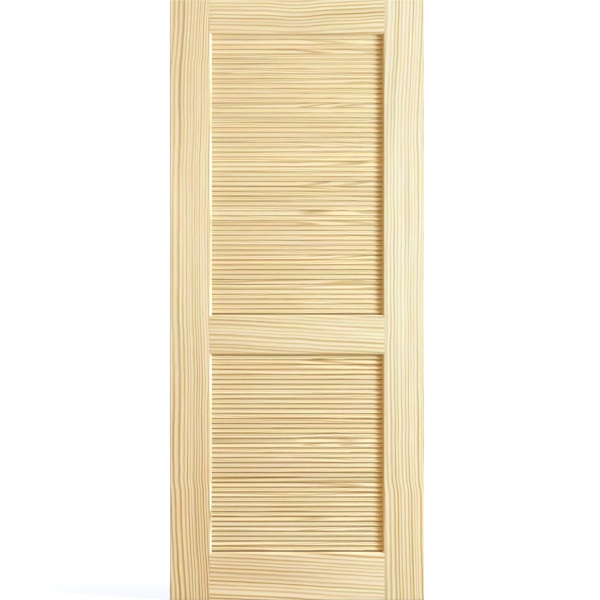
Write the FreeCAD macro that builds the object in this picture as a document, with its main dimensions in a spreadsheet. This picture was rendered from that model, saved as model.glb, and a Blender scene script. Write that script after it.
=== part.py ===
import FreeCAD, Part
import math
import os
import Sketcher

# A louvred door leaf of plain softwood: two stiles, three rails and two banks of fixed slats.
# The hinge edge is the plane x = 0, the front faces -Y, the middle of the thickness is y = 0
# and the leaf stands on z = 0.

# Driving sizes in millimetres, and the slats' slope in degrees from the horizontal
SIZES = {
    "door_height": 2032,
    "door_width": 860,
    "door_thickness": 35,
    "stile_width": 140.2,
    "top_rail_width": 116,
    "mid_rail_width": 136,
    "bottom_rail_width": 162,
    "lower_opening_height": 668,
    "moulding_width": 6.8,
    "moulding_depth": 8.5,
    "edge_radius": 2,
    "slat_width": 27,
    "slat_thickness": 5,
    "slat_angle": 64,
    "slat_pitch": 16.61,
    "slot_depth": 8,
    "slot_clearance": 0.1,
}

# Sizes that follow from the driving ones
FOLLOWING = {
    "half_thickness": "door_thickness / 2",
    "opening_width": "door_width - 2 * stile_width",
    "mid_rail_base": "bottom_rail_width + lower_opening_height",
    "top_rail_base": "door_height - top_rail_width",
    "upper_opening_height": "top_rail_base - mid_rail_base - mid_rail_width",
    "lower_first": "bottom_rail_width",
    "upper_first": "mid_rail_base + mid_rail_width",
    "lower_count": "round(lower_opening_height / slat_pitch) + 1",
    "upper_count": "round(upper_opening_height / slat_pitch) + 1",
    "lower_left_over": "lower_opening_height - (lower_count - 1) * slat_pitch",
    "upper_left_over": "upper_opening_height - (upper_count - 1) * slat_pitch",
    "moulding_radius": "(moulding_width ^ 2 + moulding_depth ^ 2) / (2 * moulding_width)",
    "slat_run": "(slat_width - slat_thickness) / 2 * cos(slat_angle)",
    "slat_rise": "(slat_width - slat_thickness) / 2 * sin(slat_angle)",
    "slat_radius": "slat_thickness / 2",
    "slot_radius": "slat_radius + slot_clearance",
}

# The numbers of the nodes over which each bank's slats are shared out
BANK_NODES = {"upper": range(1, 20), "lower": range(1, 14)}

# How a sketch numbers the points of a line or an arc
START, END, CENTRE = range(1, 4)

# What rounds an arris: its reach across and up a sketch, and the radius of its arc
EASED_ARRIS = ("sizes.edge_radius", "sizes.edge_radius", "sizes.edge_radius")
STILE_MOULDING = ("sizes.moulding_width", "sizes.moulding_depth", "sizes.moulding_radius")
RAIL_MOULDING = ("sizes.moulding_depth", "sizes.moulding_width", "sizes.moulding_radius")

doc = FreeCAD.newDocument("LouvredDoor")


def fill_sheet():
    sheet = doc.addObject("Spreadsheet::Sheet", "sizes")
    cells = {alias: str(number) for alias, number in SIZES.items()}
    cells.update({alias: f"={formula}" for alias, formula in FOLLOWING.items()})
    for row, (alias, content) in enumerate(cells.items(), start=1):
        sheet.set(f"A{row}", alias)
        sheet.set(f"B{row}", content)
        sheet.setAlias(f"B{row}", alias)
    doc.recompute()


def origin_feature(body, role):
    return next(item for item in body.Origin.OriginFeatures if item.Role == role)


def new_body(label):
    body = doc.addObject("PartDesign::Body", label)
    body.Label = label
    return body


def new_sketch(body, name, role):
    sketch = body.newObject("Sketcher::SketchObject", f"{body.Label}_{name}")
    sketch.AttachmentSupport = [(origin_feature(body, role), "")]
    sketch.MapMode = "FlatFace"
    return sketch


def pin_point(sketch, element, point, across, up):
    """Hold one point of a sketch at a place that two expressions measure from the sketch's origin."""
    for kind, expression in (("DistanceX", across), ("DistanceY", up)):
        datum = float(sketch.evalExpression(expression))
        number = sketch.addConstraint(Sketcher.Constraint(kind, -1, START, element, point, datum))
        sketch.setExpression(f"Constraints[{number}]", expression)


def bind_radius(sketch, arc, radius):
    datum = float(sketch.evalExpression(radius))
    number = sketch.addConstraint(Sketcher.Constraint("Radius", arc, datum))
    sketch.setExpression(f"Constraints[{number}]", radius)


def draw_rectangle(sketch, left, right, low, high, roundings):
    """Draw a rectangle from four expressions, rounded as stated for each corner, anticlockwise from low left.

    A rounding is None, or three expressions: its reach across, its reach up and the radius of its arc.
    """
    corners = ((left, low), (right, low), (right, high), (left, high))
    steps = [FreeCAD.Vector(across, up) for across, up in ((1, 0), (0, 1), (-1, 0), (0, -1))]

    def along_side(corner, step):
        """State the point where the side that leaves a corner in this direction begins."""
        across, up = corners[corner]
        if roundings[corner] is None:
            return across, up
        reach_across, reach_up, _ = roundings[corner]
        return f"{across} + {step.x} * {reach_across}", f"{up} + {step.y} * {reach_up}"

    def number(expression):
        return float(sketch.evalExpression(expression))

    sides = []
    for corner, step in enumerate(steps):
        after = (corner + 1) % len(corners)
        start = along_side(corner, step)
        end = along_side(after, -step)
        line = Part.LineSegment(*(FreeCAD.Vector(*map(number, point)) for point in (start, end)))
        side = sketch.addGeometry(line, False)
        pin_point(sketch, side, START, *start)
        if roundings[after]:
            pin_point(sketch, side, END, *end)
        sides.append((side, line))

    for corner, rounding in enumerate(roundings):
        before, line_before = sides[corner - 1]
        after, line_after = sides[corner]
        if rounding is None:
            sketch.addConstraint(Sketcher.Constraint("Coincident", before, END, after, START))
            continue
        first, last = line_before.EndPoint, line_after.StartPoint
        radius = number(rounding[-1])
        # The arc runs smoothly into the side along which it reaches farther
        if (last - first) * steps[corner] > (last - first) * steps[corner - 1]:
            centre = last - steps[corner - 1] * radius
        else:
            centre = first + steps[corner] * radius
        turns = [math.atan2(point.y - centre.y, point.x - centre.x) for point in (first, last)]
        circle = Part.Circle(centre, FreeCAD.Vector(0, 0, 1), radius)
        arc = sketch.addGeometry(Part.ArcOfCircle(circle, turns[0], turns[1]), False)
        sketch.addConstraint(Sketcher.Constraint("Coincident", before, END, arc, START))
        sketch.addConstraint(Sketcher.Constraint("Coincident", arc, END, after, START))
        bind_radius(sketch, arc, rounding[-1])


def draw_slat_section(sketch, radius, slope, height):
    """Draw a slat's round-edged section; slope is 1 where the sketch's +X is the back of the door."""
    size = float(sketch.evalExpression(radius))
    middle = float(sketch.evalExpression(height))
    run = slope * float(sketch.evalExpression("sizes.slat_run"))
    rise = float(sketch.evalExpression("sizes.slat_rise"))
    turn = math.atan2(rise, run)
    quarter = math.pi / 2
    normal = FreeCAD.Vector(0, 0, 1)
    side = FreeCAD.Vector(math.sin(turn), -math.cos(turn), 0) * size
    back = FreeCAD.Vector(run, middle + rise, 0)
    nose = FreeCAD.Vector(-run, middle - rise, 0)
    back_arc = Part.ArcOfCircle(Part.Circle(back, normal, size), turn - quarter, turn + quarter)
    nose_arc = Part.ArcOfCircle(Part.Circle(nose, normal, size), turn + quarter, turn + 3 * quarter)
    back_edge = sketch.addGeometry(back_arc, False)
    nose_edge = sketch.addGeometry(nose_arc, False)
    under = sketch.addGeometry(Part.LineSegment(nose + side, back + side), False)
    over = sketch.addGeometry(Part.LineSegment(back - side, nose - side), False)
    joins = (
        (under, END, back_edge, START),
        (back_edge, END, over, START),
        (over, END, nose_edge, START),
        (nose_edge, END, under, START),
    )
    for join in joins:
        sketch.addConstraint(Sketcher.Constraint("Tangent", *join))
    sketch.addConstraint(Sketcher.Constraint("Equal", back_edge, nose_edge))
    bind_radius(sketch, back_edge, radius)
    pin_point(sketch, back_edge, CENTRE, f"{slope} * sizes.slat_run", f"{height} + sizes.slat_rise")
    pin_point(sketch, nose_edge, CENTRE, f"{-slope} * sizes.slat_run", f"{height} - sizes.slat_rise")


def pad_along_x(body, sketch, length):
    pad = body.newObject("PartDesign::Pad", f"{body.Label}_pad")
    pad.Profile = sketch
    pad.SideType = "Symmetric"
    pad.setExpression("Length", length)
    return pad


def cut_through(body, sketch):
    pocket = body.newObject("PartDesign::Pocket", f"{sketch.Name}_cut")
    pocket.Profile = sketch
    pocket.SideType = "Symmetric"
    pocket.Type = "ThroughAll"


def repeat_up(body, feature, count):
    """Repeat a feature upwards at the slats' pitch."""
    row = body.newObject("PartDesign::LinearPattern", f"{feature.Name}_row")
    row.Originals = [feature]
    row.Direction = (origin_feature(body, "Z_Axis"), [""])
    row.Mode = "Spacing"
    row.setExpression("Offset", "sizes.slat_pitch")
    row.setExpression("Occurrences", count)
    body.Tip = row


def make_stile(label, slope):
    """Model a stile from its outer edge at x = 0 to its inner edge, with both banks' slots."""
    body = new_body(label)
    plan = new_sketch(body, "plan", "XY_Plane")
    sides = ("0", "sizes.stile_width", "-sizes.half_thickness", "sizes.half_thickness")
    draw_rectangle(plan, *sides, (EASED_ARRIS, STILE_MOULDING, STILE_MOULDING, EASED_ARRIS))
    pad = body.newObject("PartDesign::Pad", f"{label}_pad")
    pad.Profile = plan
    pad.setExpression("Length", "sizes.door_height")
    for bank in BANK_NODES:
        section = new_sketch(body, f"{bank}_slot", "YZ_Plane")
        section.setExpression("AttachmentOffset.Base.z", "sizes.stile_width")
        draw_slat_section(section, "sizes.slot_radius", slope, f"sizes.{bank}_first")
        slot = body.newObject("PartDesign::Pocket", f"{section.Name}_cut")
        slot.Profile = section
        slot.setExpression("Length", "sizes.slot_depth")
        repeat_up(body, slot, f"sizes.{bank}_count")
    return body


def make_rail(label, bank_below, bank_above, base):
    """Model a rail that is moulded, and grooved for part of a slat, along each edge that meets a bank."""
    body = new_body(label)
    width = f"sizes.{label}_width"
    below = RAIL_MOULDING if bank_below else None
    above = RAIL_MOULDING if bank_above else None
    section = new_sketch(body, "section", "YZ_Plane")
    sides = ("-sizes.half_thickness", "sizes.half_thickness", "0", width)
    draw_rectangle(section, *sides, (below, below, above, above))
    pad_along_x(body, section, "sizes.opening_width + 2 * sizes.moulding_width")

    # Both ends are coped over the moulded inner edges of the stiles
    cope = new_sketch(body, "cope", "XY_Plane")
    inner = "sizes.opening_width / 2"
    outer = "sizes.door_width / 2"
    faces = ("-sizes.half_thickness", "sizes.half_thickness")
    draw_rectangle(cope, f"-{outer}", f"-{inner}", *faces, (None, STILE_MOULDING, STILE_MOULDING, None))
    draw_rectangle(cope, inner, outer, *faces, (STILE_MOULDING, None, None, STILE_MOULDING))
    cut_through(body, cope)

    if bank_below:
        groove = new_sketch(body, "lower_groove", "YZ_Plane")
        draw_slat_section(groove, "sizes.slot_radius", 1, f"-sizes.{bank_below}_left_over")
        cut_through(body, groove)
    if bank_above:
        groove = new_sketch(body, "upper_groove", "YZ_Plane")
        draw_slat_section(groove, "sizes.slot_radius", 1, width)
        cut_through(body, groove)
    body.setExpression("Placement.Base.x", "sizes.door_width / 2")
    body.setExpression("Placement.Base.z", base)


def make_slats(bank, numbers):
    """Model one bank's slats, shared out evenly over its numbered nodes from the lowest slat up."""
    for number in numbers:
        body = new_body(f"{bank}_slats_{number:02d}")
        section = new_sketch(body, "section", "YZ_Plane")
        draw_slat_section(section, "sizes.slat_radius", 1, "0")
        pad = pad_along_x(body, section, "sizes.opening_width + 2 * sizes.slot_depth")
        first = f"floor({number - 1} * sizes.{bank}_count / {len(numbers)})"
        after = f"floor({number} * sizes.{bank}_count / {len(numbers)})"
        repeat_up(body, pad, f"{after} - {first}")
        body.setExpression("Placement.Base.x", "sizes.door_width / 2")
        body.setExpression("Placement.Base.z", f"sizes.{bank}_first + {first} * sizes.slat_pitch")


def check_document():
    doc.recompute()
    for item in doc.Objects:
        if "Invalid" in item.State or "Error" in item.State:
            raise RuntimeError(f"{item.Label} failed to compute")
        if item.TypeId == "PartDesign::Pocket" and item.Shape.Volume >= item.BaseFeature.Shape.Volume:
            raise RuntimeError(f"{item.Label} cuts nothing")
        if item.TypeId == "PartDesign::Body" and (item.Shape.isNull() or not item.Shape.isValid()):
            raise RuntimeError(f"{item.Label} has no valid shape")


def write_parts():
    os.makedirs("parts", exist_ok=True)
    for item in doc.Objects:
        if item.TypeId == "PartDesign::Body":
            item.Shape.exportStep(f"parts/{item.Label}.step")


fill_sheet()
make_stile("left_stile", 1)
right_stile = make_stile("right_stile", -1)
right_stile.Placement.Rotation = FreeCAD.Rotation(FreeCAD.Vector(0, 0, 1), 180)
right_stile.setExpression("Placement.Base.x", "sizes.door_width")
make_rail("top_rail", "upper", None, "sizes.top_rail_base")
make_rail("mid_rail", "lower", "upper", "sizes.mid_rail_base")
make_rail("bottom_rail", None, "lower", "0")
for bank_name, node_numbers in BANK_NODES.items():
    make_slats(bank_name, node_numbers)
check_document()
write_parts()
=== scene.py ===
import math

import bpy
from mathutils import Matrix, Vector


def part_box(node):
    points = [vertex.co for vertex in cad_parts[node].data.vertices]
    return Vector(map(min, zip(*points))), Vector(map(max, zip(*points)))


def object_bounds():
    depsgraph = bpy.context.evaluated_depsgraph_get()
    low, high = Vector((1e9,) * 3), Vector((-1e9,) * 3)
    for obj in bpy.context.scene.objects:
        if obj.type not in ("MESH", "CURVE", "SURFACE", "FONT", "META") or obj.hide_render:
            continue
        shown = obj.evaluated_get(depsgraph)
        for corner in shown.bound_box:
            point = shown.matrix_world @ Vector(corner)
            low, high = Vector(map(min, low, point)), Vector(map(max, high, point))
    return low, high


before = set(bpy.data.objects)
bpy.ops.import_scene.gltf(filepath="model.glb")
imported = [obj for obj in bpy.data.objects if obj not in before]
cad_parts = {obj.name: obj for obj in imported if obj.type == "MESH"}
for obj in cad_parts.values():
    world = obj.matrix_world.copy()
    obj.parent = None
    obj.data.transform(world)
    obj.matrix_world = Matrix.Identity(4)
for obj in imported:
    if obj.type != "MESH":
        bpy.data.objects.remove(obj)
cad_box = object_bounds()
scene = bpy.context.scene


def linear(red, green, blue):
    """A display colour from 0 to 255 as scene-linear values."""
    return tuple(((c / 255 + 0.055) / 1.055) ** 2.4 if c > 10 else c / 3294.6 for c in (red, green, blue))


def grey(value):
    """A colour with one value in all its channels."""
    return (value, value, value)


# The door's measures in metres, from the solids
DOOR_LOW, DOOR_HIGH = (Vector(corner) for corner in cad_box)
DOOR_HEIGHT = DOOR_HIGH.z - DOOR_LOW.z
MIDDLE_X = (DOOR_LOW.x + DOOR_HIGH.x) / 2
LEFT_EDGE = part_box("left_stile")[1].x
RIGHT_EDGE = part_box("right_stile")[0].x
MOULDING_WIDTH = LEFT_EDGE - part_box("mid_rail")[0].x

# The slats' slope, spacing and section in metres
SLAT_ANGLE = math.radians(64.0)
SLAT_PITCH = 0.01661
SLAT_WIDTH = 0.027
SLAT_THICKNESS = 0.005
SLAT_HALF_HEIGHT = ((SLAT_WIDTH - SLAT_THICKNESS) * math.sin(SLAT_ANGLE) + SLAT_THICKNESS) / 2

# Waves in the pine, as many a metre along the board and across it
SWAY_WAVES = (1.7, 3.0)
RIPPLE_WAVES = (7.0, 9.0)
STREAK_WAVES = (1.8, 160.0)
FIBRE_WAVES = (22.0, 900.0)
PORE_WAVES = (60.0, 1500.0)
DRIFT_WAVES = (0.9, 7.0)
HUE_WAVES = (8.0, 60.0)
BAND_WAVES = (2.0, 24.0)

# Waves in the rings, as many a metre along the board and a ring across it
FADE_WAVES = (2.6, 0.9)
UNEVEN_WAVES = (0.2, 0.3)

# How far the rings are bent in metres, and how uneven their width is in rings
SWAY = 0.008
RIPPLE = 0.0018
STILE_RIPPLE = 0.0024
UNEVEN = 0.7

# The wood's darkness from 0 to 1: through a ring, from ring to ring, and from finer marks
LATE_WOOD = ((0.0, 0.3), (0.14, 0.0), (0.47, 0.1), (0.70, 0.75), (0.87, 1.0), (1.0, 0.45))
RING_STRENGTHS = (0.56, 1.01)
PORE_LIMITS = ((0.42, 0.0), (0.62, 1.0))
FADE = 0.22
STREAK = 0.19
FIBRE = 0.10
DRIFT = 0.08
PORE = 0.18

# Shifts of a board's seed, so that its kinds of noise differ
FADE_SHIFT = 3.0
BAND_SHIFT = 5.0
RIPPLE_SHIFT = 7.0
DRIFT_SHIFT = 11.0
ROSY_SHIFT = 19.0
SALLOW_SHIFT = 29.0
TINT_SHIFT = 500.0
FIGURE_SHIFT = 900.0

# The wood's surface: early wood is rougher than late wood, and fibres and rings stand proud
ROUGHNESSES = (0.66, 0.56)
SPECULAR = 0.35
BUMP_STRENGTH = 0.35
BUMP_HEIGHT = 0.0003
FIBRE_HEIGHT = 0.5
RING_HEIGHT = 0.4

# Early wood and late wood of each kind of board
GOLDEN = (linear(252, 245, 219), linear(185, 151, 63))
PALE = (linear(244, 240, 223), linear(191, 163, 93))
STRAW = (linear(245, 237, 209), linear(188, 151, 72))
WARM_STRAW = (linear(253, 241, 213), linear(191, 151, 69))
HONEY = (linear(250, 240, 210), linear(199, 168, 104))

# Pairs of tints between which the wood's hue drifts, and how fast it does
MOTTLE_GAIN = 0.9
ROSY_TINTS = ((1.005, 0.96, 0.9725), (0.957, 1.005, 0.9725))
SALLOW_TINTS = ((1.0, 1.0, 1.06), (1.0, 1.0, 0.92))
BAND_TINTS = ((0.96, 0.94, 0.90), (1.04, 1.06, 1.10))

# Tints at the foot, the middle and the head of the door, and their heights as shares of the whole
TINT_HEIGHTS = (0.1, 0.5, 0.9)
GOLDEN_TINTS = ((1.0, 0.912, 0.833), grey(1.0), (0.969, 0.929, 0.894))
PALE_TINTS = ((1.0, 0.962, 0.858), (0.951, 1.0, 1.0), (0.939, 0.951, 0.937))
# Painted shade, amber, for the recess beside the right stile: on its front moulding and on the slats' right
# ends
RECESS_SHADE = (1.0, 0.83, 0.575)
RECESS_SHADE_TINTS = (RECESS_SHADE, RECESS_SHADE)
SLAT_RECESS_SHADE_TINTS = ((1.13, 0.938, 0.65), RECESS_SHADE)
# Painted highlight for the left stile's lit front moulding, whiter at the foot
MOULDING_HIGHLIGHT_TINTS = ((0.92, 1.04, 1.20), (0.92, 0.93, 0.97))

# The leaf's long edges and foot, darkened as painted shade: distances in metres from the edge, with the share
# of the tint there
EDGE_SHADE = (0.72, 0.69, 0.63)
EDGE_SHADE_STOPS = ((0.0012, 1.0), (0.0036, 0.0))

# The door's front half, by y moved back by a shift in metres
FRONT_SHIFT = 0.005
FRONT_STOPS = ((0.004, 1.0), (0.006, 0.0))

# Rails: the grain's fall in metres, and by each x the share of it that the grain has fallen
GRAIN_FALL = 0.03
TOP_FALL = ((0.14, 0.35), (0.34, 0.38), (0.43, 0.60), (0.53, 0.25), (0.72, 0.0))
MID_FALL = ((0.14, 0.0), (0.45, 0.60), (0.60, 0.82), (0.72, 0.90))
LOW_FALL = ((0.14, 0.0), (0.35, 0.45), (0.55, 0.82), (0.72, 1.0))

# Rails and slats grow paler from left to right, towards the lamp, partly as the wood's own tone and partly as
# a painted highlight, and a rail's rings change in contrast
PALING_PLACES = (LEFT_EDGE + 0.01, RIGHT_EDGE - 0.02)
RAIL_PALING = ((1.0, 0.972, 0.935), (0.962, 1.0, 1.025))
SLAT_PALING = ((1.0, 0.985, 0.965), (0.975, 0.995, 1.0))
CONTRAST_PLACES = (LEFT_EDGE + 0.06, RIGHT_EDGE - 0.06)

# Rails' mouldings, a painted highlight on the upper one and painted shade on the lower: heights in metres
# from the rail's upper or lower edge
RAIL_HIGHLIGHT = linear(255, 242, 208)
RAIL_HIGHLIGHT_STOPS = ((-0.007, grey(0.0)), (-0.006, grey(0.5)))
UNDER_SHADE_HEIGHTS = (0.006, 0.008)

# Stiles: the rings' width and lean in metres, and by share of height the lean's share and the rings' contrast
STILE_RINGS = 0.0056
STILE_LEAN = 0.024
LEAN_STOPS = (
    (0.0, 1.0), (0.16, 0.42), (0.18, 0.38), (0.20, 0.14), (0.23, 0.10),
    (0.5, 0.0), (0.83, 0.10), (0.895, 0.34), (0.91, 0.46), (1.0, 0.85),
)
STILE_CONTRASTS = ((0.0, 1.3), (0.2, 1.105), (0.45, 0.806), (0.7, 0.65), (1.0, 0.845))

# Stiles' mouldings and the dark line beside them: distances in metres from the stile's inner edge
MOULDED_STOPS = ((MOULDING_WIDTH - 0.001, 1.0), (MOULDING_WIDTH + 0.001, 0.0))
SEAM = (0.85, 0.84, 0.82)
SEAM_STOPS = (
    (MOULDING_WIDTH - 0.001, 0.0), (MOULDING_WIDTH - 0.0006, 1.0),
    (MOULDING_WIDTH + 0.0027, 1.0), (MOULDING_WIDTH + 0.0032, 0.0),
)

# Slats: limits between which each slat's own values lie, in metres but for the slope
SLAT_SLOPES = (-0.018, 0.018)
SLAT_RINGS = (0.0038, 0.0073)
SLAT_RIPPLES = (0.002, 0.008)
PITH_ASIDE = (-0.09, 0.09)
PITH_BEHIND = (0.015, 0.065)
PITH_TILTS = (-0.012, 0.012)

# Slats: from one to the next, metres along the wood and the seed's step
SLAT_STEP = 3.7
SLAT_SEED_STEP = 1.31

# Slats: how lively the figure is by x, how dark the rings are by height, and how their colours differ
FIGURE_STOPS = ((MIDDLE_X - 0.01, 0.15), (RIGHT_EDGE - 0.04, 1.0))
SLAT_CONTRASTS = ((0.45, 1.0), (0.75, 0.82))
SLAT_WARMTHS = ((0.0, (1.0, 0.98, 0.95)), (0.5, grey(1.0)), (1.0, (0.99, 1.0, 1.02)))
SLAT_SHADES = ((0.0, 0.95), (1.0, 1.02))

# Slats' painted shade: where the next slat covers them, at the lowest slat's root, and at both ends, amber
# beside the right stile and cool beside the left
GAP_SHADES = (
    (0.08, (0.74, 0.62, 0.41)), (0.41, (0.86, 0.745, 0.53)), (0.475, (0.92, 0.84, 0.65)),
    (0.72, (1.0, 0.95, 0.82)), (0.94, (1.0, 0.97, 0.87)),
)
GAP_SHADE_STOPS = ((0.0012, 1.0), (0.0036, 0.0))
ROOT_SHADE = (0.40, 0.33, 0.21)
ROOT_SHADE_STOPS = ((0.002, 1.0), (0.0065, 0.0))
RECESS_SHADE_STOPS = ((RIGHT_EDGE - 0.030, 0.0), (RIGHT_EDGE - 0.014, 1.0))
SHADED = (0.87, 0.94, 1.0)
SHADED_STOPS = ((LEFT_EDGE + 0.004, 1.0), (LEFT_EDGE + 0.007, 0.0))

# The studio: places and sizes in metres, power in watts
WHITE = grey(1.0)
FILL = 0.72
FILL_COLOUR = (1.05, 0.875, 0.64)
FLOOR_REACH = 8.0
FLOOR_GAP = 0.0005
FLOOR_ROUGHNESS = 0.9
FLOOR_UNSEEN = (0.36, 0.28, 0.19)
FLOOR_SEEN = (0.40, 0.46, 0.62)
FLOOR_GLOW = {"From Min": 0.8, "From Max": 3.0, "To Min": 0.48, "To Max": 0.80}
LAMP_SIZE = 1.55
LAMP_COLOUR = (0.79, 0.88, 0.98)
KEY_PLACE = (5.1, -2.1, 1.9)
KEY_TARGET = (MIDDLE_X, 0.0, 1.0)
KEY_POWER = 345.0
BACK_PLACE = (-2.2, 4.4, 2.3)
BACK_TARGET = (MIDDLE_X, 0.0, 1.1)
BACK_POWER = 165.0
CAMERA_X = MIDDLE_X + 0.0103
CAMERA_DISTANCE = 8.0
SENSOR_WIDTH = 36.0
CLIP_END = 100.0


class Graph:
    """The node tree of a material or a world, with short calls for the nodes that it needs."""

    def __init__(self, owner, shader="Principled BSDF"):
        owner.use_nodes = True
        self.owner = owner
        self.tree = owner.node_tree
        self.shader = self.tree.nodes[shader]

    def put(self, socket, value):
        """Link a socket to another socket, or set it to a plain value."""
        if isinstance(value, bpy.types.NodeSocket):
            self.tree.links.new(value, socket)
        else:
            socket.default_value = value

    def math(self, operation, first, second=0.0, third=0.0):
        node = self.tree.nodes.new("ShaderNodeMath")
        node.operation = operation
        for socket, value in zip(node.inputs, (first, second, third)):
            self.put(socket, value)
        return node.outputs[0]

    def add(self, first, second):
        return self.math("ADD", first, second)

    def sub(self, first, second):
        return self.math("SUBTRACT", first, second)

    def mul(self, first, second):
        return self.math("MULTIPLY", first, second)

    def mad(self, value, scale, shift):
        return self.math("MULTIPLY_ADD", value, scale, shift)

    def between(self, share, limits):
        """A number between two limits, by a share from 0 to 1."""
        first, last = limits
        return self.mad(share, last - first, first)

    def vector(self, x, y, z):
        node = self.tree.nodes.new("ShaderNodeCombineXYZ")
        for socket, value in zip(node.inputs, (x, y, z)):
            self.put(socket, value)
        return node.outputs[0]

    def split(self, vector):
        node = self.tree.nodes.new("ShaderNodeSeparateXYZ")
        self.put(node.inputs[0], vector)
        return node.outputs

    def place(self):
        """A point's place on its object, in metres."""
        return self.tree.nodes.new("ShaderNodeTexCoord").outputs["Object"]

    def noise(self, vector, detail=2.0, roughness=0.5):
        """Smooth noise from -1 to 1, about one wave a unit."""
        node = self.tree.nodes.new("ShaderNodeTexNoise")
        node.normalize = False
        self.put(node.inputs["Vector"], vector)
        node.inputs["Scale"].default_value = 1.0
        node.inputs["Detail"].default_value = detail
        node.inputs["Roughness"].default_value = roughness
        return node.outputs[0]

    def random(self, value):
        """Three random numbers from 0 to 1 for each whole number."""
        node = self.tree.nodes.new("ShaderNodeTexWhiteNoise")
        node.noise_dimensions = "1D"
        self.put(node.inputs["W"], value)
        return self.split(node.outputs["Color"])

    def ramp(self, factor, stops, interpolation="LINEAR"):
        """A colour that follows stops of (place, colour), with places from 0 to 1."""
        stops = tuple(stops)
        node = self.tree.nodes.new("ShaderNodeValToRGB")
        node.color_ramp.interpolation = interpolation
        elements = node.color_ramp.elements
        while len(elements) < len(stops):
            elements.new(0.5)
        for element, (place, colour) in zip(elements, stops):
            element.position = place
            element.color = (*colour, 1.0)
        self.put(node.inputs[0], factor)
        return node.outputs[0]

    def curve(self, factor, stops, interpolation="LINEAR"):
        """A number that follows stops of (place, number), with places from 0 to 1."""
        return self.ramp(factor, ((place, grey(value)) for place, value in stops), interpolation)

    def near(self, distance, stops):
        """A number that follows stops of (metres, number) over the first centimetre of a distance."""
        scale = 100.0
        return self.curve(self.mul(distance, scale), ((metres * scale, value) for metres, value in stops))

    def about(self, distance, stops):
        """A colour that follows stops of (metres, colour) within half a metre of a place."""
        half = 0.5
        return self.ramp(self.add(distance, half), ((metres + half, colour) for metres, colour in stops))

    def mix(self, factor, first, second, blend="MIX"):
        """One colour mixed with another, each a socket or three numbers."""
        node = self.tree.nodes.new("ShaderNodeMix")
        node.data_type = "RGBA"
        node.blend_type = blend
        factor_socket, first_socket, second_socket = (node.inputs[index] for index in (0, 6, 7))
        self.put(factor_socket, factor)
        for socket, colour in ((first_socket, first), (second_socket, second)):
            self.put(socket, (*colour, 1.0) if isinstance(colour, tuple) else colour)
        return node.outputs[2]

    def tint(self, colour, by, share=1.0):
        """A colour multiplied by another, as far as share says."""
        return self.mix(share, colour, by, "MULTIPLY")

    def seen(self):
        """One for the rays that show the ground itself, and zero for those that light the door."""
        path = self.tree.nodes.new("ShaderNodeLightPath")
        seen = path.outputs["Is Camera Ray"]
        for ray in ("Is Glossy Ray", "Is Transmission Ray"):
            seen = self.math("MAXIMUM", seen, path.outputs[ray])
        return seen


def grain(graph, along, across, third, waves, detail=2.0, roughness=0.5):
    """Noise drawn out along a board: waves are as many a unit along it and across it."""
    vector = graph.vector(graph.mul(along, waves[0]), graph.mul(across, waves[1]), third)
    return graph.noise(vector, detail, roughness)


def mottle(graph, colour, noise, tints):
    """Tint a colour from the first tint to the second as noise goes from low to high."""
    share = graph.mad(noise, MOTTLE_GAIN, 0.5)
    return graph.tint(colour, graph.ramp(share, zip((0.0, 1.0), tints)))


def growth_rings(graph, across, depth, along, pith, spacing, seed, contrast, waves):
    """Wire up rings round a pith line that runs along the board.

    Gives the place across the bent grain, the late wood from 0 to 1, and how much it darkens the wood.
    """
    sway = grain(graph, along, across, seed, SWAY_WAVES, detail=1.0)
    ripple = grain(graph, along, across, graph.add(seed, RIPPLE_SHIFT), RIPPLE_WAVES)
    bent = graph.add(graph.mad(sway, SWAY, across), graph.mul(ripple, waves))
    aside = graph.sub(bent, pith[0])
    behind = graph.sub(depth, pith[1])
    radius = graph.math("SQRT", graph.mad(aside, aside, graph.mul(behind, behind)))
    count = graph.math("DIVIDE", radius, spacing)
    by_ring = graph.vector(graph.mul(count, UNEVEN_WAVES[1]), seed, graph.mul(along, UNEVEN_WAVES[0]))
    phase = graph.mad(graph.noise(by_ring, roughness=0.4), UNEVEN, count)
    ring = graph.math("FLOOR", phase)
    late = graph.curve(graph.sub(phase, ring), LATE_WOOD)
    chance = graph.random(graph.add(ring, seed))[0]
    fade = grain(graph, along, ring, graph.add(seed, FADE_SHIFT), FADE_WAVES, detail=1.0)
    strength = graph.add(graph.between(chance, RING_STRENGTHS), graph.mul(fade, FADE))
    return bent, late, graph.mul(late, graph.mul(strength, contrast))


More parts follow.
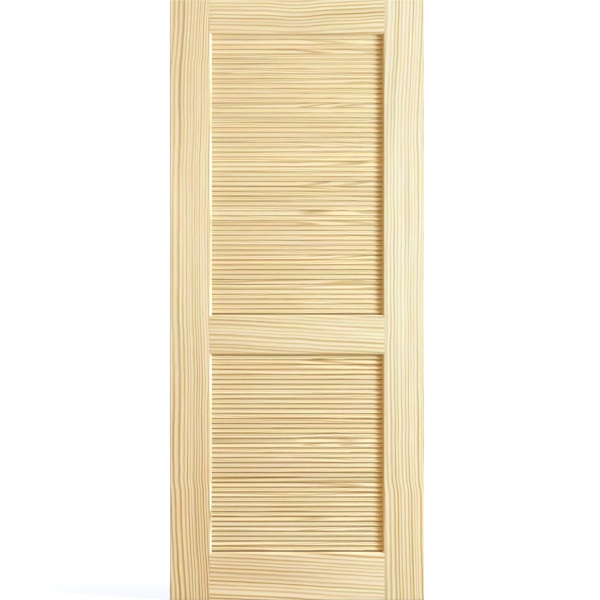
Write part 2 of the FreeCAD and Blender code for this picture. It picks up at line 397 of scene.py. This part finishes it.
def pine(graph, across, depth, along, pith, spacing, tones, seed, contrast=1.0, waves=RIPPLE):
    """Wire up pine's roughness and bump, and give its colour: growth rings, streaks, fibres and fine pores.

    across, depth and along are metres in the board, pith is the pith's (across, depth) place, spacing is
    the rings' width, tones are the (early wood, late wood) colours, and seed shifts the noise from board to
    board. contrast scales the rings' darkness, and waves is how far, in metres, small waves bend them.
    """
    bent, late, darkness = growth_rings(graph, across, depth, along, pith, spacing, seed, contrast, waves)
    streak = grain(graph, along, bent, graph.mul(depth, STREAK_WAVES[1]), STREAK_WAVES, 3.0, 0.6)
    fibre = grain(graph, along, bent, graph.mul(depth, FIBRE_WAVES[1]), FIBRE_WAVES)
    pores = grain(graph, along, bent, graph.mul(depth, PORE_WAVES[1]), PORE_WAVES, detail=1.0)
    drift = grain(graph, along, across, graph.add(seed, DRIFT_SHIFT), DRIFT_WAVES, detail=1.0)
    marks = ((streak, STREAK), (fibre, FIBRE), (drift, DRIFT), (graph.curve(pores, PORE_LIMITS), PORE))
    for mark, amount in marks:
        darkness = graph.mad(mark, amount, darkness)
    darkness = graph.math("MINIMUM", graph.math("MAXIMUM", darkness, 0.0), 1.0)
    colour = graph.ramp(darkness, zip((0.0, 1.0), tones))
    for shift, tints in ((ROSY_SHIFT, ROSY_TINTS), (SALLOW_SHIFT, SALLOW_TINTS)):
        hue = grain(graph, along, bent, graph.add(seed, shift), HUE_WAVES)
        colour = mottle(graph, colour, hue, tints)
    graph.put(graph.shader.inputs["Roughness"], graph.between(darkness, ROUGHNESSES))
    graph.shader.inputs["Specular IOR Level"].default_value = SPECULAR
    bump = graph.tree.nodes.new("ShaderNodeBump")
    bump.inputs["Strength"].default_value = BUMP_STRENGTH
    bump.inputs["Distance"].default_value = BUMP_HEIGHT
    graph.put(bump.inputs["Height"], graph.mad(fibre, FIBRE_HEIGHT, graph.mul(late, RING_HEIGHT)))
    graph.put(graph.shader.inputs["Normal"], bump.outputs[0])
    return colour


def front_half(graph, y):
    """One on the door's front half and zero on its back half, with a blend 2 mm wide."""
    return graph.near(graph.add(y, FRONT_SHIFT), FRONT_STOPS)


def paint_edge_shade(graph, colour, x, z):
    """Darken the leaf's long edges and its foot with painted shade."""
    from_side = graph.math("PINGPONG", x, MIDDLE_X)
    from_edge = graph.math("MINIMUM", from_side, z)
    return graph.tint(colour, EDGE_SHADE, graph.near(from_edge, EDGE_SHADE_STOPS))


def rail_material(rail, pith, spacing, fall, tones, contrasts, under_shade_tint, seed):
    """Pine for a rail, whose grain runs across the door and whose upper moulding has a pale painted
    highlight.

    fall gives stops of how far the grain has fallen by each x, from 0 to 1 for GRAIN_FALL. contrasts are the
    rings' darkness at the left and the right end, and under_shade_tint paints shade on the lower moulding.
    """
    graph = Graph(bpy.data.materials.new("pine_" + rail))
    x, y, z = graph.split(graph.place())
    contrast = graph.curve(x, zip(CONTRAST_PLACES, contrasts))
    across = graph.mad(graph.curve(x, fall, "B_SPLINE"), GRAIN_FALL, z)
    colour = pine(graph, across, y, x, pith, spacing, tones, seed, contrast)
    bands = grain(graph, x, across, seed + BAND_SHIFT, BAND_WAVES)
    colour = mottle(graph, colour, bands, BAND_TINTS)
    colour = graph.tint(colour, graph.ramp(x, zip(PALING_PLACES, RAIL_PALING)))
    low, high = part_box(rail)
    if high.z < DOOR_HIGH.z:
        # A pale painted highlight on the upper moulding
        highlighted = graph.about(graph.sub(z, high.z), RAIL_HIGHLIGHT_STOPS)
        colour = graph.mix(highlighted, colour, RAIL_HIGHLIGHT)
    if low.z > DOOR_LOW.z:
        # Painted shade on the lower moulding
        under_shade = graph.about(graph.sub(z, low.z), zip(UNDER_SHADE_HEIGHTS, (under_shade_tint, grey(1.0))))
        colour = graph.tint(colour, under_shade)
    graph.put(graph.shader.inputs["Base Color"], paint_edge_shade(graph, colour, x, z))
    return graph.owner


def stile_material(stile, pith, tones, tints, inner_edge, moulding_light_and_shade, seam_stops, seed):
    """Pine for a stile: the rings lean out at both ends, kink above the bottom rail and fade in the middle.

    tints colour its foot, middle and head, and moulding_light_and_shade colour the foot and middle of the
    front moulding beside inner_edge, an x, as painted light: a highlight on the left stile and amber shade on
    the right. seam_stops say at which shares of the height a dark line runs beside it.
    """
    graph = Graph(bpy.data.materials.new("pine_" + stile))
    x, y, z = graph.split(graph.place())
    rise = graph.math("DIVIDE", z, DOOR_HEIGHT)
    across = graph.mad(graph.curve(rise, LEAN_STOPS), -STILE_LEAN, x)
    contrast = graph.curve(rise, STILE_CONTRASTS)
    colour = pine(graph, across, y, z, pith, STILE_RINGS, tones, seed, contrast, STILE_RIPPLE)
    colour = graph.tint(colour, graph.ramp(rise, zip(TINT_HEIGHTS, tints)))
    from_inside = graph.math("ABSOLUTE", graph.sub(x, inner_edge))
    moulded = graph.mul(graph.near(from_inside, MOULDED_STOPS), front_half(graph, y))
    # Painted light on the front moulding: a highlight on the lit stile and amber shade on the other
    colour = graph.tint(colour, graph.ramp(rise, zip(TINT_HEIGHTS, moulding_light_and_shade)), moulded)
    seam = graph.mul(graph.near(from_inside, SEAM_STOPS), graph.curve(rise, seam_stops, "CONSTANT"))
    colour = graph.tint(colour, SEAM, seam)
    graph.put(graph.shader.inputs["Base Color"], paint_edge_shade(graph, colour, x, z))
    return graph.owner


def slat_material(bank, tones, seed):
    """Pine for a bank of slats, where each slat is cut from another place in another board.

    Where the next slat covers it, a slat has painted shade, and more so the lower it is. Its right end has
    amber painted shade, its left end a cool painted shade, and the lowest slat painted shade at its root.
    """
    graph = Graph(bpy.data.materials.new(f"pine_{bank}_slats"))
    x, y, z = graph.split(graph.place())
    above = graph.sub(z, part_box(f"{bank}_slats_01")[0].z + SLAT_HALF_HEIGHT)
    sheared = graph.mad(y, -math.tan(SLAT_ANGLE), above)
    number = graph.math("ROUND", graph.math("DIVIDE", sheared, SLAT_PITCH))
    height = graph.sub(above, graph.mul(number, SLAT_PITCH))
    across = graph.add(graph.mul(y, math.cos(SLAT_ANGLE)), graph.mul(height, math.sin(SLAT_ANGLE)))
    depth = graph.add(graph.mul(y, -math.sin(SLAT_ANGLE)), graph.mul(height, math.cos(SLAT_ANGLE)))
    cut = graph.random(graph.add(number, seed))
    tint = graph.random(graph.add(number, seed + TINT_SHIFT))
    figure = graph.random(graph.add(number, seed + FIGURE_SHIFT))
    along = graph.mad(number, SLAT_STEP, x)
    slope = graph.between(cut[2], SLAT_SLOPES)
    across = graph.mad(graph.sub(x, MIDDLE_X), slope, across)
    figured = graph.curve(x, FIGURE_STOPS)
    tilt = graph.mul(figured, graph.between(figure[1], PITH_TILTS))
    pith = (graph.between(cut[0], PITH_ASIDE), graph.add(graph.between(cut[1], PITH_BEHIND), tilt))
    spacing = graph.between(tint[2], SLAT_RINGS)
    waves = graph.mul(figured, graph.between(figure[0], SLAT_RIPPLES))
    rise = graph.math("DIVIDE", z, DOOR_HEIGHT)
    contrast = graph.curve(rise, SLAT_CONTRASTS)
    board_seed = graph.mad(number, SLAT_SEED_STEP, seed)
    colour = pine(graph, across, depth, along, pith, spacing, tones, board_seed, contrast, waves)
    colour = graph.tint(colour, graph.ramp(x, zip(PALING_PLACES, SLAT_PALING)))
    colour = graph.tint(colour, graph.ramp(tint[0], SLAT_WARMTHS))
    colour = graph.tint(colour, graph.curve(tint[1], SLAT_SHADES))
    # Painted shade where the next slat covers each slat, darker towards the foot
    gap_shaded = graph.near(graph.math("ABSOLUTE", y), GAP_SHADE_STOPS)
    colour = graph.tint(colour, graph.ramp(rise, GAP_SHADES), gap_shaded)
    # Painted shade at the lowest slat's root
    colour = graph.tint(colour, ROOT_SHADE, graph.near(above, ROOT_SHADE_STOPS))
    front = front_half(graph, y)
    # Painted amber shade at the slats' right ends and cool painted shade at their left ends, on the front
    # half
    recess_shading = graph.ramp(rise, zip(TINT_HEIGHTS, SLAT_RECESS_SHADE_TINTS))
    colour = graph.tint(colour, recess_shading, graph.mul(graph.curve(x, RECESS_SHADE_STOPS), front))
    colour = graph.tint(colour, SHADED, graph.mul(graph.curve(x, SHADED_STOPS), front))
    graph.put(graph.shader.inputs["Base Color"], colour)
    return graph.owner


def rail_stops():
    """Stops by share of height that are one beside each rail and zero between the rails."""
    stops = []
    for rail in ("bottom_rail", "mid_rail", "top_rail"):
        low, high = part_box(rail)
        stops.append((low.z / DOOR_HEIGHT, 1.0))
        stops.append((high.z / DOOR_HEIGHT, 0.0))
    return stops


def dress_door():
    """Give each CAD node the pine of its board or of its bank of slats."""
    pines = {
        "left_stile": stile_material(
            "left_stile", pith=(-0.07, 0.20), tones=GOLDEN, tints=GOLDEN_TINTS, inner_edge=LEFT_EDGE,
            moulding_light_and_shade=MOULDING_HIGHLIGHT_TINTS, seam_stops=((0.0, 1.0), (1.0, 1.0)), seed=1.0),
        "right_stile": stile_material(
            "right_stile", pith=(0.65, 0.22), tones=PALE, tints=PALE_TINTS, inner_edge=RIGHT_EDGE,
            moulding_light_and_shade=RECESS_SHADE_TINTS, seam_stops=rail_stops(), seed=12.0),
        "top_rail": rail_material(
            "top_rail", pith=(1.75, 0.06), spacing=0.0122, fall=TOP_FALL, tones=STRAW,
            contrasts=(0.82, 1.0), under_shade_tint=(1.0, 0.94, 0.84), seed=23.0),
        "mid_rail": rail_material(
            "mid_rail", pith=(0.72, 0.07), spacing=0.0118, fall=MID_FALL, tones=STRAW,
            contrasts=(0.88, 0.74), under_shade_tint=(0.95, 0.85, 0.68), seed=34.0),
        "bottom_rail": rail_material(
            "bottom_rail", pith=(-0.12, 0.06), spacing=0.0127, fall=LOW_FALL, tones=WARM_STRAW,
            contrasts=(1.1, 0.85), under_shade_tint=grey(1.0), seed=47.0),
        "upper": slat_material("upper", HONEY, seed=61.0),
        "lower": slat_material("lower", HONEY, seed=161.0),
    }
    for name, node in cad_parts.items():
        bank = name.split("_")[0]
        node.data.materials.clear()
        node.data.materials.append(pines.get(name) or pines[bank])


def make_world():
    """A warm fill light for the door, seen as plain white."""
    graph = Graph(bpy.data.worlds.new("studio"), "Background")
    seen = graph.seen()
    graph.put(graph.shader.inputs["Color"], graph.mix(seen, FILL_COLOUR, WHITE))
    graph.put(graph.shader.inputs["Strength"], graph.between(seen, (FILL, 1.0)))
    scene.world = graph.owner


def floor_material():
    """A pale matt floor that glows where it is seen, and less so near the door, where its shadow falls."""
    graph = Graph(bpy.data.materials.new("studio_floor"))
    seen = graph.seen()
    graph.put(graph.shader.inputs["Base Color"], graph.mix(seen, FLOOR_UNSEEN, FLOOR_SEEN))
    graph.shader.inputs["Roughness"].default_value = FLOOR_ROUGHNESS
    reach = graph.tree.nodes.new("ShaderNodeVectorMath")
    reach.operation = "LENGTH"
    graph.put(reach.inputs[0], graph.place())
    brightness = graph.tree.nodes.new("ShaderNodeMapRange")
    for socket, value in FLOOR_GLOW.items():
        brightness.inputs[socket].default_value = value
    graph.put(brightness.inputs["Value"], reach.outputs["Value"])
    glow = graph.tree.nodes.new("ShaderNodeEmission")
    glow.inputs["Color"].default_value = (*WHITE, 1.0)
    graph.put(glow.inputs["Strength"], graph.mul(seen, brightness.outputs[0]))
    shown = graph.tree.nodes.new("ShaderNodeAddShader")
    graph.put(shown.inputs[0], graph.shader.outputs[0])
    graph.put(shown.inputs[1], glow.outputs[0])
    graph.put(graph.tree.nodes["Material Output"].inputs["Surface"], shown.outputs[0])
    return graph.owner


def make_floor():
    """A wide white floor that keeps a faint shadow of the door."""
    mesh = bpy.data.meshes.new("floor")
    signs = ((-1, -1), (1, -1), (1, 1), (-1, 1))
    mesh.from_pydata([(x * FLOOR_REACH, y * FLOOR_REACH, 0.0) for x, y in signs], [], [(0, 1, 2, 3)])
    mesh.materials.append(floor_material())
    floor = bpy.data.objects.new("floor", mesh)
    floor.location = (MIDDLE_X, 0.0, -FLOOR_GAP)
    scene.collection.objects.link(floor)


def make_lamp(name, place, target, power):
    """A soft round lamp that points at a target."""
    data = bpy.data.lights.new(name, "AREA")
    data.color = LAMP_COLOUR
    data.shape = "DISK"
    data.size = LAMP_SIZE
    data.energy = power
    lamp = bpy.data.objects.new(name, data)
    lamp.location = place
    lamp.rotation_euler = (Vector(target) - Vector(place)).to_track_quat("-Z", "Y").to_euler()
    scene.collection.objects.link(lamp)


def make_camera():
    """A camera straight on at half the door's height, whose frame is as wide as the door's front is tall."""
    data = bpy.data.cameras.new("camera")
    data.sensor_width = SENSOR_WIDTH
    data.lens = SENSOR_WIDTH * CAMERA_DISTANCE / DOOR_HEIGHT
    data.clip_end = CLIP_END
    camera = bpy.data.objects.new("camera", data)
    camera.location = (CAMERA_X, DOOR_LOW.y - CAMERA_DISTANCE, DOOR_LOW.z + DOOR_HEIGHT / 2)
    camera.rotation_euler = (math.pi / 2, 0.0, 0.0)
    scene.collection.objects.link(camera)
    scene.camera = camera


dress_door()
make_world()
make_floor()
make_lamp("key", KEY_PLACE, KEY_TARGET, KEY_POWER)
make_lamp("back", BACK_PLACE, BACK_TARGET, BACK_POWER)
make_camera()
scene.view_settings.view_transform = "Standard"
